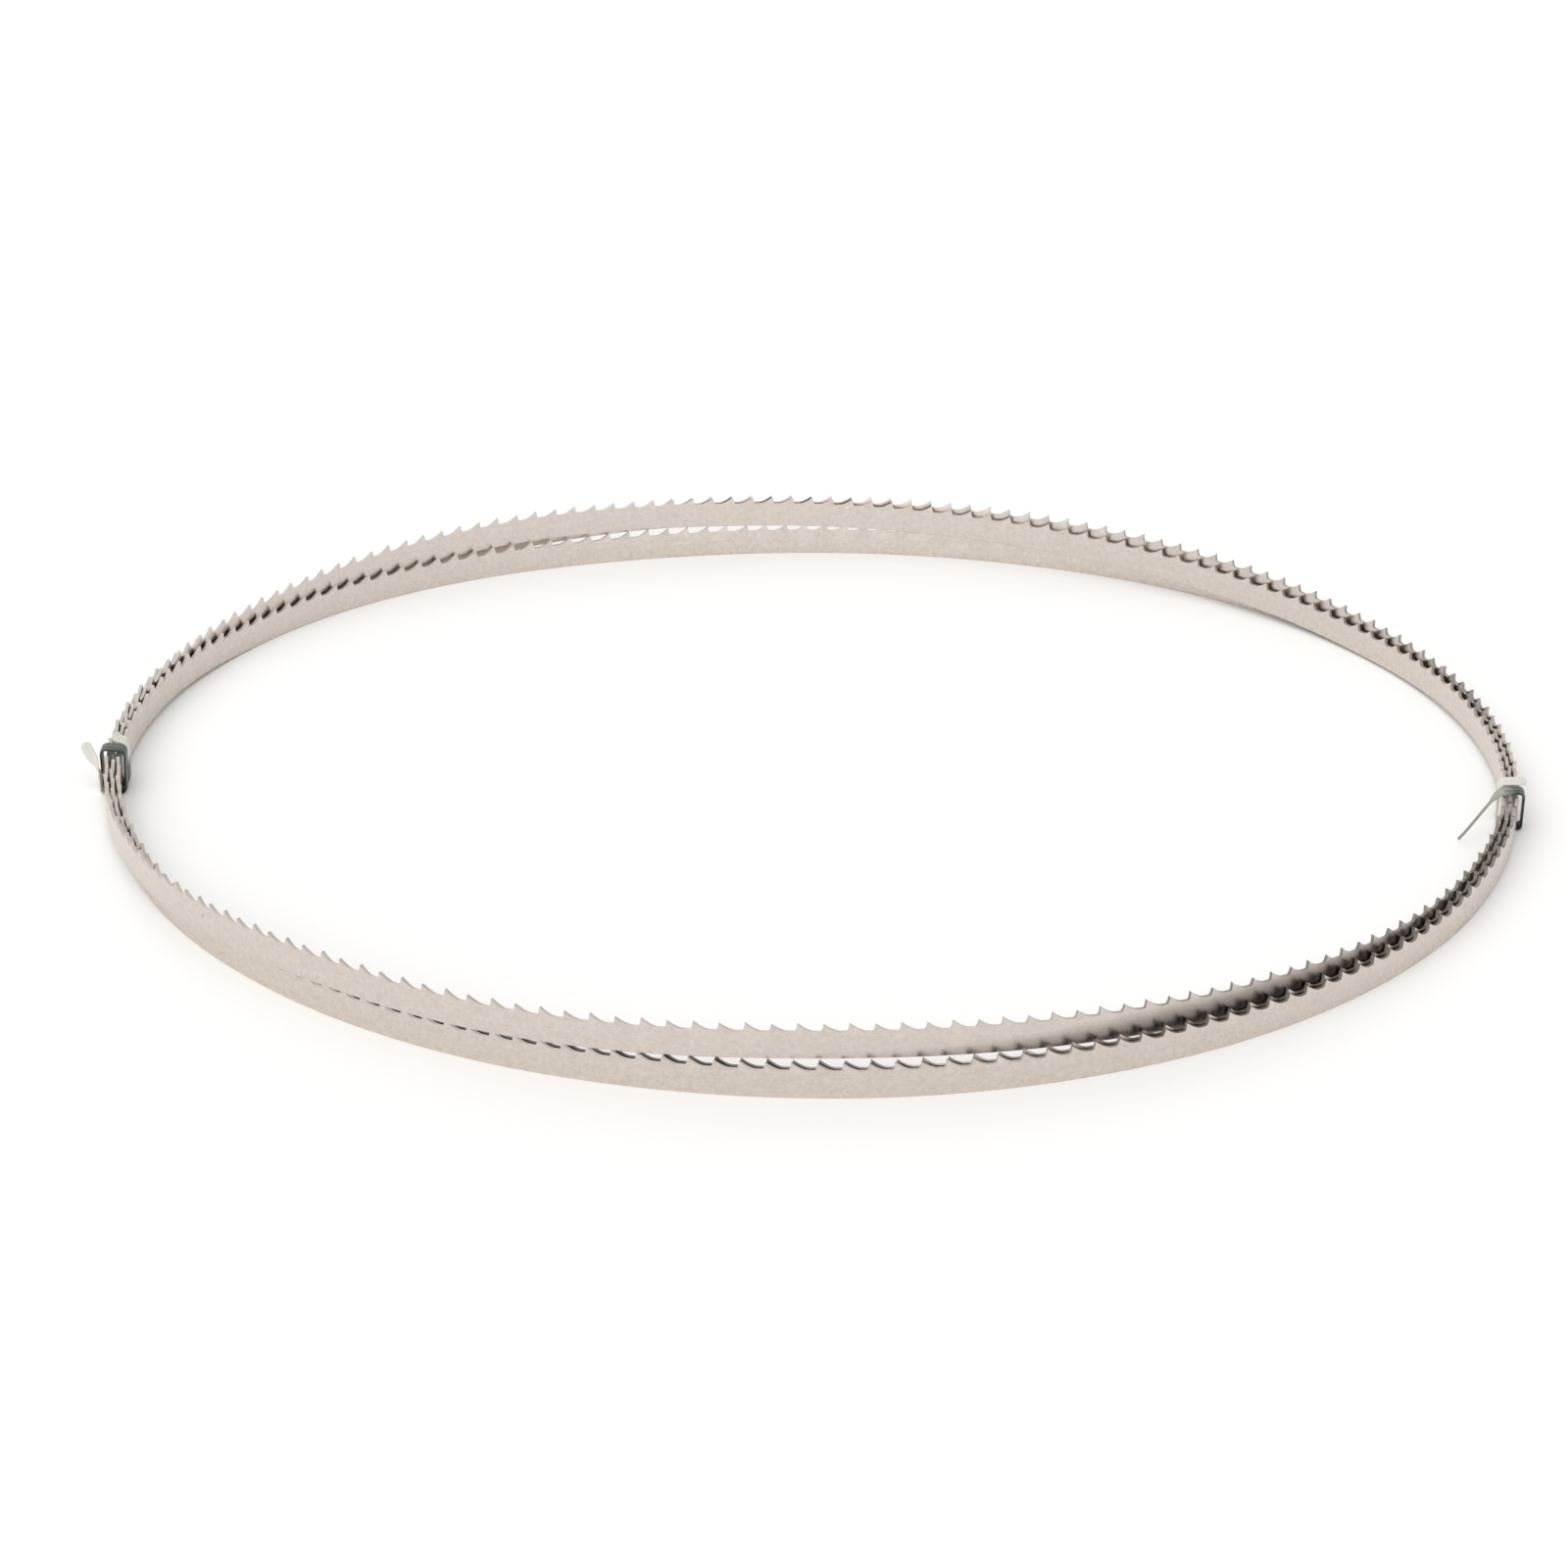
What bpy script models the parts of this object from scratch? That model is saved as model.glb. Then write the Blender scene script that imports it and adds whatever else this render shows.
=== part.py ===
"""Band saw blade, an endless toothed steel band folded into three loops,
standing on its back edge and held by two flat plastic ties.

Metres, +Z up, the floor at Z = 0, the ties on the X axis.
"""
import math
from collections import namedtuple

import bpy
import bmesh
from mathutils import Vector

# Blade, as such blades are sold: 93 1/2 inches round, 1/4 inch wide, six teeth to the inch
BLADE_LENGTH = 2.3749
BLADE_WIDTH = 0.00635
BLADE_THICKNESS = 0.000635
TOOTH_PITCH = 0.00423333
GULLET_DEPTH = 0.0014
TOOTH_SET = 0.00017
TOOTH_START = 0.0

# One tooth, in shares of its pitch: where the curve of its raked front ends and that of its
# back starts, each with its power, and where the solid has its corners
TOOTH_FRONT_END = 0.13
TOOTH_FRONT_POWER = 3.0
TOOTH_BACK_START = 0.36
TOOTH_BACK_POWER = 1.6
TOOTH_CORNERS = (0.0, 0.04, 0.13, 0.55)

# The coil: the loops lie side by side, one layer step apart at the ties
LAYER_STEP = 0.0011
LAYER_SPREAD = 0.00014

# The outline's departure from a circle: share of the radius, waves a turn, phase in degrees
OUTLINE_WAVES = ((0.0425, 2, 0.0), (0.0126, 3, 72.4), (0.0025, 4, 194.0))

# Raised stretches, as shares of a half loop: lift, start, top, end of top, floor
FRONT_RAISED = (0.00660, 0.00, 0.525, 0.700, 1.00)
BACK_RAISED = (0.00662, 0.00, 0.410, 0.474, 0.899)
RIDER_RAISED = (0.00655, 0.133, 0.467, 0.526, 1.00)
ON_THE_FLOOR = (0.0, 0.0, 0.5, 0.5, 1.0)

# A half loop: its layers at both ends (0 inside, 2 outside), the share where it changes over
# and half of the span that this takes, its raised stretch, its lean outward in degrees and
# the share where it leans most, and its bow outward
HalfLoop = namedtuple("HalfLoop", "first last change half_span raised lean lean_peak bow")
FRONT_INNER = HalfLoop(1, 0, 0.515, 0.12, ON_THE_FLOOR, 0.0, 0.50, -0.00008)
BACK_UNDER = HalfLoop(0, 2, 0.462, 0.13, ON_THE_FLOOR, 4.8, 0.48, -0.00024)
FRONT_UNDER = HalfLoop(2, 1, 0.515, 0.12, ON_THE_FLOOR, 0.6, 0.52, -0.00034)
BACK_OVER = HalfLoop(1, 0, 0.372, 0.10, BACK_RAISED, -1.6, 0.53, 0.00048)
FRONT_OVER = HalfLoop(0, 2, 0.574, 0.12, FRONT_RAISED, 2.8, 0.55, 0.00018)
BACK_RIDER = HalfLoop(2, 1, 0.404, 0.12, RIDER_RAISED, 6.4, 0.67, -0.00003)

# The order in which the band runs through them, clockwise seen from above
RUN = (FRONT_INNER, BACK_UNDER, FRONT_UNDER, BACK_OVER, FRONT_OVER, BACK_RIDER)

# Ties: flat plastic strips with a wire down the middle
TIE_WIDTH = 0.0034
TIE_EDGE = 0.00034
TIE_CORE = 0.00054
TIE_GAP = 0.00044
TIE_ARCH = 0.00052
TIE_TOP_CORNER = 0.0012
TIE_FOOT_CORNER = 0.00085
TIE_STEPS = 28
TIE_FLOOR_GAP = 0.00004
TIE_RISE = TIE_CORE + TIE_GAP + TIE_FLOOR_GAP
TIE_RISE_SPAN = math.radians(34)

# Each tie: place on the coil in degrees from the X axis, its winding (start on the way
# round, turns, step to the front a turn), then its two tails
LEFT_PLACE = 181.9
LEFT_WINDING = (0.06, 1.46, 0.0038)
LEFT_STUB = ((0.0004, 0.0030, 0.0089), 0.6, (1.0, 0.1, 0.2), (-0.2, -0.3, 0.9), 0.85, 6)
LEFT_TAIL = ((0.0052, -0.0030, 0.0092), 1.0, (0.45, 0.0, 0.85), (-0.1, -1.0, 0.3), 0.62, 14)
RIGHT_PLACE = -6.6
RIGHT_WINDING = (0.95, 1.13, 0.0042)
RIGHT_STUB = ((0.0028, 0.0027, 0.0081), 0.5, (1.0, 0.1, -0.1), (0.1, -0.2, 0.9), 0.85, 6)
RIGHT_TAIL = ((-0.0094, -0.0092, 0.0010), 0.8, (-0.6, -0.5, -0.6), (-0.7, 0.3, 0.65), 0.16, 14)

HALF_TURN = math.pi
HALVES = len(RUN)

# The band's length and direction are read from this many points and over this turn, in radians
SAMPLES = 2400
SLOPE_TURN = 0.002


def remove_everything():
    for old in list(bpy.data.objects):
        bpy.data.objects.remove(old, do_unlink=True)


def ease(t):
    """0 to 1 with level ends and no jump in slope or curvature."""
    t = min(max(t, 0.0), 1.0)
    return t * t * t * (t * (6.0 * t - 15.0) + 10.0)


def bend(t):
    """0 to 1 with level ends, as a sprung band rises."""
    t = min(max(t, 0.0), 1.0)
    return t * t * (3.0 - 2.0 * t)


def lift_at(u, raised):
    """Rises from the floor to a level stretch and comes back."""
    lift, start, top, top_end, floor = raised
    return lift * bend((u - start) / (top - start)) * (1.0 - bend((u - top_end) / (floor - top_end)))


def layer_at(u, half):
    changed = ease((u - half.change + half.half_span) / (2.0 * half.half_span))
    return half.first + (half.last - half.first) * changed


def lean_at(u, half):
    """The lean in radians, none at the ties."""
    skewed = u ** (math.log(0.5) / math.log(half.lean_peak))
    return math.radians(half.lean) * math.sin(math.pi * skewed) ** 2


def loop_shape(angle):
    """The coil's outline as a share of its mean radius."""
    return 1.0 + sum(share * math.cos(waves * angle - math.radians(phase))
                     for share, waves, phase in OUTLINE_WAVES)


def tie_rise(angle):
    """The band stands on the ties where they pass under it."""
    near = (abs(math.cos(angle)) - math.cos(TIE_RISE_SPAN)) / (1.0 - math.cos(TIE_RISE_SPAN))
    return TIE_RISE * ease(near)


def band_state(travel, radius):
    """Foot and width direction of the band after this much turning, in radians."""
    turn = travel % (HALVES * HALF_TURN)
    number = min(int(turn / HALF_TURN), HALVES - 1)
    half = RUN[number]
    u = turn / HALF_TURN - number
    middle = math.sin(math.pi * u) ** 2
    lean = lean_at(u, half)
    angle = -turn
    step = LAYER_STEP + LAYER_SPREAD * middle
    r = radius * loop_shape(angle) + (layer_at(u, half) - 1.0) * step + half.bow * middle
    out = Vector((math.cos(angle), math.sin(angle), 0.0))
    foot = out * r
    foot.z = lift_at(u, half.raised) + tie_rise(angle) + 0.5 * BLADE_THICKNESS * abs(math.sin(lean))
    width = out * math.sin(lean) + Vector((0.0, 0.0, math.cos(lean)))
    return foot, width


def middle_line(radius):
    points = []
    for k in range(SAMPLES):
        foot, width = band_state(k * HALVES * HALF_TURN / SAMPLES, radius)
        points.append(foot + width * (0.5 * BLADE_WIDTH))
    return points


def line_lengths(points):
    total = 0.0
    lengths = [0.0]
    for k in range(len(points)):
        total += (points[(k + 1) % len(points)] - points[k]).length
        lengths.append(total)
    return lengths


def radius_for_length(length):
    """Mean loop radius that uses up the blade's whole length."""
    rounds = 4
    radius = length / (HALVES * HALF_TURN)
    for _ in range(rounds):
        radius *= length / line_lengths(middle_line(radius))[-1]
    return radius


def travel_at(distance, lengths):
    """The turning reached after a distance along the band."""
    low = 0
    high = SAMPLES
    distance = distance % lengths[-1]
    while high - low > 1:
        middle = (low + high) // 2
        if lengths[middle] <= distance:
            low = middle
        else:
            high = middle
    share = (distance - lengths[low]) / (lengths[high] - lengths[low])
    return (low + share) * HALVES * HALF_TURN / SAMPLES


def band_frame(distance, lengths, radius):
    """Foot, width direction and face normal at a distance along the band."""
    travel = travel_at(distance, lengths)
    foot, width = band_state(travel, radius)
    behind, _ = band_state(travel - SLOPE_TURN, radius)
    ahead, _ = band_state(travel + SLOPE_TURN, radius)
    normal = (ahead - behind).cross(width).normalized()
    if normal.dot(Vector((foot.x, foot.y, 0.0))) < 0.0:
        normal = -normal
    return foot, width, normal


def new_object(name, points, faces, material, sharp_degrees):
    mesh = bpy.data.meshes.new(name)
    mesh.from_pydata([tuple(p) for p in points], [], faces)
    bm = bmesh.new()
    bm.from_mesh(mesh)
    bmesh.ops.recalc_face_normals(bm, faces=bm.faces)
    if bm.calc_volume(signed=True) < 0.0:
        bmesh.ops.reverse_faces(bm, faces=bm.faces)
    bm.to_mesh(mesh)
    bm.free()
    for face in mesh.polygons:
        face.use_smooth = True
    mesh.set_sharp_from_angle(angle=math.radians(sharp_degrees))
    mesh.materials.append(material)
    made = bpy.data.objects.new(name, mesh)
    bpy.context.scene.collection.objects.link(made)
    return made


def new_material(name, colour, roughness, metallic):
    material = bpy.data.materials.new(name)
    material.use_nodes = True
    shader = material.node_tree.nodes["Principled BSDF"]
    shader.inputs["Base Color"].default_value = (*colour, 1.0)
    shader.inputs["Roughness"].default_value = roughness
    shader.inputs["Metallic"].default_value = metallic
    return material


def tooth_depth(share):
    """How far the edge lies below the tips, in gullet depths, at a share of the pitch."""
    front = max(0.0, 1.0 - share / TOOTH_FRONT_END)
    back = max(0.0, (share - TOOTH_BACK_START) / (1.0 - TOOTH_BACK_START))
    return 1.0 - front ** TOOTH_FRONT_POWER - back ** TOOTH_BACK_POWER


def build_blade(material):
    """The endless band: the teeth point the way that the band runs."""
    radius = radius_for_length(BLADE_LENGTH)
    lengths = line_lengths(middle_line(radius))
    teeth = int(round(BLADE_LENGTH / TOOTH_PITCH))
    pitch = lengths[-1] / teeth
    half = 0.5 * BLADE_THICKNESS
    points = []
    for tooth in range(teeth):
        start = (tooth + TOOTH_START) * pitch
        foot, width, normal = band_frame(start, lengths, radius)
        points.append(foot - normal * half)
        points.append(foot + normal * half)
        side = 1.0 if tooth % 2 else -1.0
        for along in TOOTH_CORNERS:
            depth = tooth_depth(along)
            foot, width, normal = band_frame(start + along * pitch, lengths, radius)
            top = foot + width * (BLADE_WIDTH - depth * GULLET_DEPTH)
            top += normal * (side * TOOTH_SET * (1.0 - depth))
            points.append(top - normal * half)
            points.append(top + normal * half)
    per_tooth = 2 + 2 * len(TOOTH_CORNERS)
    faces = []
    for tooth in range(teeth):
        here = tooth * per_tooth
        there = ((tooth + 1) % teeth) * per_tooth
        edge = [here + 2 + 2 * k for k in range(len(TOOTH_CORNERS))]
        edge.append(there + 2)
        faces.append((here, here + 1, there + 1, there))
        for first, second in zip(edge, edge[1:]):
            faces.append((first, second, second + 1, first + 1))
        # each face of the band: a fan from this foot, then one from the next
        for side in (0, 1):
            split = len(edge) // 2
            for first, second in zip(edge[:split + 1], edge[1:split + 1]):
                faces.append((here + side, first + side, second + side))
            faces.append((here + side, edge[split] + side, there + side))
            for first, second in zip(edge[split:], edge[split + 1:]):
                faces.append((there + side, first + side, second + side))
    return new_object("blade", points, faces, material, 35.0), radius


def loop_outline():
    """The strap's way round the bundle: straight stretches and round corners.

    Each is (length, start, heading or None, corner centre, corner radius, start angle),
    from the middle of the top, inwards, down, under, and up the outer side.
    """
    half_x = LAYER_STEP + 0.5 * BLADE_THICKNESS + TOOTH_SET + TIE_GAP + 0.5 * TIE_CORE
    top = 0.5 * BLADE_WIDTH + TIE_ARCH + 0.5 * TIE_CORE
    bottom = -0.5 * BLADE_WIDTH - TIE_GAP - 0.5 * TIE_CORE
    corners = ((-1, top, TIE_TOP_CORNER, 90.0), (-1, bottom, TIE_FOOT_CORNER, 180.0),
               (1, bottom, TIE_FOOT_CORNER, 270.0), (1, top, TIE_TOP_CORNER, 0.0))
    pieces = []
    here = Vector((0.0, top))
    for side, level, corner, angle in corners:
        centre = Vector((side * (half_x - corner), level - math.copysign(corner, level)))
        start = centre + Vector((math.cos(math.radians(angle)), math.sin(math.radians(angle)))) * corner
        if (start - here).length > 1e-9:
            pieces.append(((start - here).length, here, (start - here).normalized(), None, 0.0, angle))
        pieces.append((0.5 * math.pi * corner, start, None, centre, corner, angle))
        turned = math.radians(angle + 90.0)
        here = centre + Vector((math.cos(turned), math.sin(turned))) * corner
    end = Vector((0.0, top))
    pieces.append(((end - here).length, here, (end - here).normalized(), None, 0.0, 90.0))
    return pieces


def loop_point(pieces, share):
    """Point and outward direction at a share of the way round the bundle."""
    distance = (share % 1.0) * sum(piece[0] for piece in pieces)
    for length, start, heading, centre, corner, angle in pieces:
        if distance <= length:
            break
        distance -= length
    if heading is None:
        turned = math.radians(angle + 90.0 * distance / length)
        out = Vector((math.cos(turned), math.sin(turned)))
        return centre + out * corner, out
    turned = math.radians(angle)
    return start + heading * distance, Vector((math.cos(turned), math.sin(turned)))


def smooth_tail(start, start_way, end, end_way, steps):
    """Points of a cubic curve from start to end, the start left out."""
    reach = (end - start).length
    points = []
    for k in range(1, steps + 1):
        t = k / steps
        a = 2 * t ** 3 - 3 * t ** 2 + 1
        b = t ** 3 - 2 * t ** 2 + t
        c = -2 * t ** 3 + 3 * t ** 2
        d = t ** 3 - t ** 2
        points.append(start * a + start_way * (b * reach) + end * c + end_way * (d * reach))
    return points


def strap_section():
    """The strip's outline: thin wings either side of a round wire."""
    half = 0.5 * TIE_WIDTH
    core = 0.5 * TIE_CORE
    edge = 0.5 * TIE_EDGE
    upper = ((-half, edge), (-1.5 * core, edge), (-0.6 * core, core),
             (0.6 * core, core), (1.5 * core, edge), (half, edge))
    lower = tuple((x, -z) for x, z in reversed(upper))
    return upper + lower


def build_strap(name, centres, flats, widths, material):
    """A strip swept along its centre line, lying flat against the given normals."""
    section = strap_section()
    count = len(section)
    points = []
    for k, centre in enumerate(centres):
        before = centres[max(k - 1, 0)]
        after = centres[min(k + 1, len(centres) - 1)]
        way = (after - before).normalized()
        flat = flats[k] - way * flats[k].dot(way)
        flat.normalize()
        across = way.cross(flat)
        for x, z in section:
            points.append(centre + across * (x * widths[k]) + flat * z)
    faces = []
    for k in range(len(centres) - 1):
        for j in range(count):
            a = k * count + j
            b = k * count + (j + 1) % count
            faces.append((a, b, b + count, a + count))
    last = (len(centres) - 1) * count
    faces.append(tuple(range(count)))
    faces.append(tuple(range(last, last + count)))
    return new_object(name, points, faces, material, 50.0)


def build_tie(name, material, radius, place, side, winding, start_tail, end_tail):
    """A strip wound round the bundle, over the top and inwards first.

    place is its angle on the coil; side is +1 on the right and -1 on the left, where
    the coil is seen from the front. A tail is (end point in metres from the bundle's
    foot, leaving pull, arriving direction, flat direction at the end, share of the width
    left there, steps); directions and points run outwards, to the back, up.
    """
    first, turns, step = winding
    pieces = loop_outline()
    angle = math.radians(place)
    outward = Vector((math.cos(angle), math.sin(angle), 0.0))
    backward = Vector((-math.sin(angle), math.cos(angle), 0.0)) * side
    middle = outward * (radius * loop_shape(angle))
    middle_z = TIE_RISE + 0.5 * BLADE_WIDTH
    steps = int(round(turns * TIE_STEPS))
    centres = []
    flats = []
    widths = [1.0] * (steps + 1)

    def turned(local):
        return outward * local[0] + backward * local[1] + Vector((0.0, 0.0, local[2]))

    for k in range(steps + 1):
        point, out = loop_point(pieces, first + k / TIE_STEPS)
        y = step * (0.5 * turns - k / TIE_STEPS)
        centres.append(middle + turned((point.x, y, middle_z + point.y)))
        flats.append(turned((out.x, 0.0, out.y)))

    for tail, at_start in ((start_tail, True), (end_tail, False)):
        end, leaving, arriving, flat_end, width_end, tail_steps = tail
        edge = 0 if at_start else -1
        inner = 1 if at_start else -2
        away = (centres[edge] - centres[inner]).normalized()
        tip = middle + turned(end)
        arrival = turned(arriving).normalized()
        points = smooth_tail(centres[edge], away * leaving, tip, arrival, tail_steps)
        normals = []
        narrowed = []
        for k in range(1, tail_steps + 1):
            t = ease(k / tail_steps)
            normals.append(flats[edge] * (1.0 - t) + turned(flat_end).normalized() * t)
            narrowed.append(1.0 + (width_end - 1.0) * k / tail_steps)
        if at_start:
            centres = points[::-1] + centres
            flats = normals[::-1] + flats
            widths = narrowed[::-1] + widths
        else:
            centres = centres + points
            flats = flats + normals
            widths = widths + narrowed
    return build_strap(name, centres, flats, widths, material)


def centre_over_origin(objects):
    """Bring the middle of the outline's box over the origin, the floor left at Z = 0."""
    places = [made.matrix_world @ vertex.co for made in objects for vertex in made.data.vertices]
    for axis in (0, 1):
        middle = 0.5 * (min(p[axis] for p in places) + max(p[axis] for p in places))
        for made in objects:
            made.location[axis] -= middle


def main():
    remove_everything()
    steel = new_material("blade_steel", (0.60, 0.56, 0.53), 0.38, 1.0)
    plastic = new_material("tie_plastic", (0.10, 0.14, 0.09), 0.32, 0.0)
    blade, radius = build_blade(steel)
    left = build_tie("tie_left", plastic, radius, LEFT_PLACE, -1.0,
                     LEFT_WINDING, LEFT_STUB, LEFT_TAIL)
    right = build_tie("tie_right", plastic, radius, RIGHT_PLACE, 1.0,
                      RIGHT_WINDING, RIGHT_STUB, RIGHT_TAIL)
    centre_over_origin((blade, left, right))


main()
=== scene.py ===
# %% [markdown]
# # A band saw blade, coiled for the shelf
#
# The object is one endless steel band with saw teeth along its top edge. It is
# folded into three loops that stand on the back edge, and two plastic ties hold
# the loops together. This script dresses the solid model of that blade: it makes
# a finer band and finer ties in the same places, gives them their finishes, and
# sets up the floor, the light and the camera.
#
# The first cell loads the solid model as a fixed frame. Everything is in metres,
# so a piece goes where the solid model says.

import math
from collections import namedtuple

import bpy
import numpy as np
from mathutils import Matrix, Vector


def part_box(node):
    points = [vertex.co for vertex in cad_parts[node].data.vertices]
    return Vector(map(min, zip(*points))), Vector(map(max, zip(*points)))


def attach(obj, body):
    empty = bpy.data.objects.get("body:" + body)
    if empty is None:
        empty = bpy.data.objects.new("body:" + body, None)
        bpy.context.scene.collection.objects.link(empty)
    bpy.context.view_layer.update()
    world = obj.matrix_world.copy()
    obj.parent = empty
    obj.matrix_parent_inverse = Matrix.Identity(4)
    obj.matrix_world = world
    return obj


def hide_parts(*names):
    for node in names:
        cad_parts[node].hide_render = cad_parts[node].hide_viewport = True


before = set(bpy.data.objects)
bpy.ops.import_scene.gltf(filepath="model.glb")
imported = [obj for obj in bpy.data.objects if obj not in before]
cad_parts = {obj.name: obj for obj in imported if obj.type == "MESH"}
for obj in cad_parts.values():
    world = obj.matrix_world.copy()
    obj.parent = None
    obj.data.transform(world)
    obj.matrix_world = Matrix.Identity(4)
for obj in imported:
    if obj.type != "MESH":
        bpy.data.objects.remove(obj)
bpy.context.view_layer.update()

# %% [markdown]
# ## The blade's own sizes
#
# A blade like this is sold by its length, width, thickness and pitch: 93 1/2
# inches round, 1/4 inch wide and six teeth to the inch. Sizes come first and by
# name, so that each later cell can use them and none is typed twice.

# %% Sizes of the band
BLADE_LENGTH = 2.3749
BLADE_WIDTH = 0.00635
BLADE_THICKNESS = 0.000635
TOOTH_PITCH = 0.00423333
GULLET_DEPTH = 0.0014
TOOTH_SET = 0.00017
TEETH = int(round(BLADE_LENGTH / TOOTH_PITCH))
print("teeth:", TEETH)

# %% [markdown]
# ## How the band is folded
#
# A band saw blade is put away by a twist of the wrists that turns one long ring
# into three loops. Seen from the side, one strip then crosses over the two
# others at the front, and one crosses under the two others at the back, so the
# blade can't fall flat. It runs three times round, which makes six half loops
# between the two ties.
#
# Each half loop is told by a few numbers: which layer of the bundle it leaves
# from and arrives at (0 inside, 2 outside), where on its way it changes layer,
# how high it is lifted over the others, how far it leans outward like a sprung
# band does, and how far it bows out of the common outline. A named tuple keeps
# such a row of numbers readable, because each one has its name.

# %% The six half loops
LAYER_STEP = 0.0011
LAYER_SPREAD = 0.00014

# the coil isn't quite round: (share of the radius, waves once round, degrees)
OUTLINE_WAVES = ((0.0425, 2, 0.0), (0.0126, 3, 72.4), (0.0025, 4, 194.0))

# height of a lifted stretch, then the places where its rise starts and is done and
# where its fall starts and is done
FRONT_RAISED = (0.00660, 0.00, 0.525, 0.700, 1.00)
BACK_RAISED = (0.00662, 0.00, 0.410, 0.474, 0.899)
RIDER_RAISED = (0.00655, 0.133, 0.467, 0.526, 1.00)
ON_THE_FLOOR = (0.0, 0.0, 0.5, 0.5, 1.0)

HalfLoop = namedtuple("HalfLoop", "first last change half_span raised lean lean_peak bow")
RUN = (
    HalfLoop(1, 0, 0.515, 0.12, ON_THE_FLOOR, 0.0, 0.50, -0.00008),
    HalfLoop(0, 2, 0.462, 0.13, ON_THE_FLOOR, 4.8, 0.48, -0.00024),
    HalfLoop(2, 1, 0.515, 0.12, ON_THE_FLOOR, 0.6, 0.52, -0.00034),
    HalfLoop(1, 0, 0.372, 0.10, BACK_RAISED, -1.6, 0.53, 0.00048),
    HalfLoop(0, 2, 0.574, 0.12, FRONT_RAISED, 2.8, 0.55, 0.00018),
    HalfLoop(2, 1, 0.404, 0.12, RIDER_RAISED, 6.4, 0.67, -0.00003),
)
HALVES = len(RUN)
print("half loops:", HALVES)
print("the highest lift, mm:", 1000 * max(half.raised[0] for half in RUN))

# %% [markdown]
# ## From a turning to a place on the band
#
# The band's place is worked out from how far it has turned. Two curves do the
# moving: a smoother one for a change of layer, and a simpler one for the rise
# and fall of a lifted stretch. The band also stands a little higher near the
# ties, because they pass under it.
#
# Everything here takes whole arrays, so thousands of places are worked out at
# once. That is much quicker in Python than one place at a time.

# %% Place and lean at a turning
TIE_CORE = 0.00054
TIE_GAP = 0.00044
TIE_FLOOR_GAP = 0.00004
TIE_RISE = TIE_CORE + TIE_GAP + TIE_FLOOR_GAP
TIE_RISE_SPAN = math.radians(34)


def ease(t):
    """0 to 1 with no jump in speed or in bending, for a change of layer."""
    t = np.clip(t, 0.0, 1.0)
    return t * t * t * (t * (6.0 * t - 15.0) + 10.0)


def bend(t):
    """0 to 1 with no jump in speed, for a rise or a fall."""
    t = np.clip(t, 0.0, 1.0)
    return t * t * (3.0 - 2.0 * t)


def loop_shape(angle):
    """The coil's outline as a share of its mean radius."""
    return 1.0 + sum(share * np.cos(waves * angle - math.radians(phase))
                     for share, waves, phase in OUTLINE_WAVES)


def tie_rise(angle):
    """How much higher the band stands near the two ties."""
    edge = math.cos(TIE_RISE_SPAN)
    near = (abs(np.cos(angle)) - edge) / (1.0 - edge)
    return TIE_RISE * ease(near)


def band_state(turn, radius):
    """Foot points and width directions at an array of turnings."""
    turn = np.mod(turn, HALVES * math.pi)
    number = np.minimum((turn / math.pi).astype(int), HALVES - 1)
    u = turn / math.pi - number
    rows = np.array([(*half.raised, half.first, half.last, half.change, half.half_span,
                      math.radians(half.lean), half.lean_peak, half.bow) for half in RUN])
    (lift, start, top, top_end, floor,
     first, last, change, half_span, lean, peak, bow) = rows[number].T
    rise = bend((u - start) / (top - start))
    fall = bend((u - top_end) / (floor - top_end))
    raised = lift * rise * (1.0 - fall)
    layer = first + (last - first) * ease((u - change + half_span) / (2.0 * half_span))
    leaning = lean * np.sin(math.pi * u ** (math.log(0.5) / np.log(peak))) ** 2
    middle = np.sin(math.pi * u) ** 2
    angle = -turn
    apart = (layer - 1.0) * (LAYER_STEP + LAYER_SPREAD * middle)
    r = radius * loop_shape(angle) + apart + bow * middle
    z = raised + tie_rise(angle) + 0.5 * BLADE_THICKNESS * abs(np.sin(leaning))
    foot = np.stack((r * np.cos(angle), r * np.sin(angle), z), axis=1)
    width = np.stack((np.cos(angle) * np.sin(leaning), np.sin(angle) * np.sin(leaning),
                      np.cos(leaning)), axis=1)
    return foot, width


print("tie rise, mm:", round(1000 * TIE_RISE, 2))

# %% [markdown]
# ## The radius that uses up the whole band
#
# The blade's length is fixed, and the loops are whatever size that length gives.
# So the mean radius is found by trying one, measuring the run along the middle
# of the band, and scaling, a few times over. The same measured run then turns a
# distance along the band into a turning, which spaces the teeth evenly.

# %% Length and radius
SAMPLES = 4800
ROUNDS = 4
sample_turns = np.arange(SAMPLES + 1) * HALVES * math.pi / SAMPLES


def run_lengths(radius):
    """Distance along the middle of the band at each sampled turning."""
    foot, width = band_state(sample_turns, radius)
    steps = np.linalg.norm(np.diff(foot + width * (0.5 * BLADE_WIDTH), axis=0), axis=1)
    return np.concatenate(((0.0,), np.cumsum(steps)))


loop_radius = BLADE_LENGTH / (HALVES * math.pi)
for _ in range(ROUNDS):
    loop_radius *= BLADE_LENGTH / run_lengths(loop_radius)[-1]
band_run = run_lengths(loop_radius)
print("mean loop radius, mm:", round(1000 * loop_radius, 2))

# %% [markdown]
# ## Which way the band faces
#
# A point isn't enough to lay a section across the band: two directions go with
# it, up the band's width and straight out of its face. The slope of the run
# comes from a place just before and one just after. The cross product of the
# slope and the width gives the face's direction, and it is turned outward.

# %% Foot, width direction and face normal along the band
SLOPE_TURN = 0.002


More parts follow.
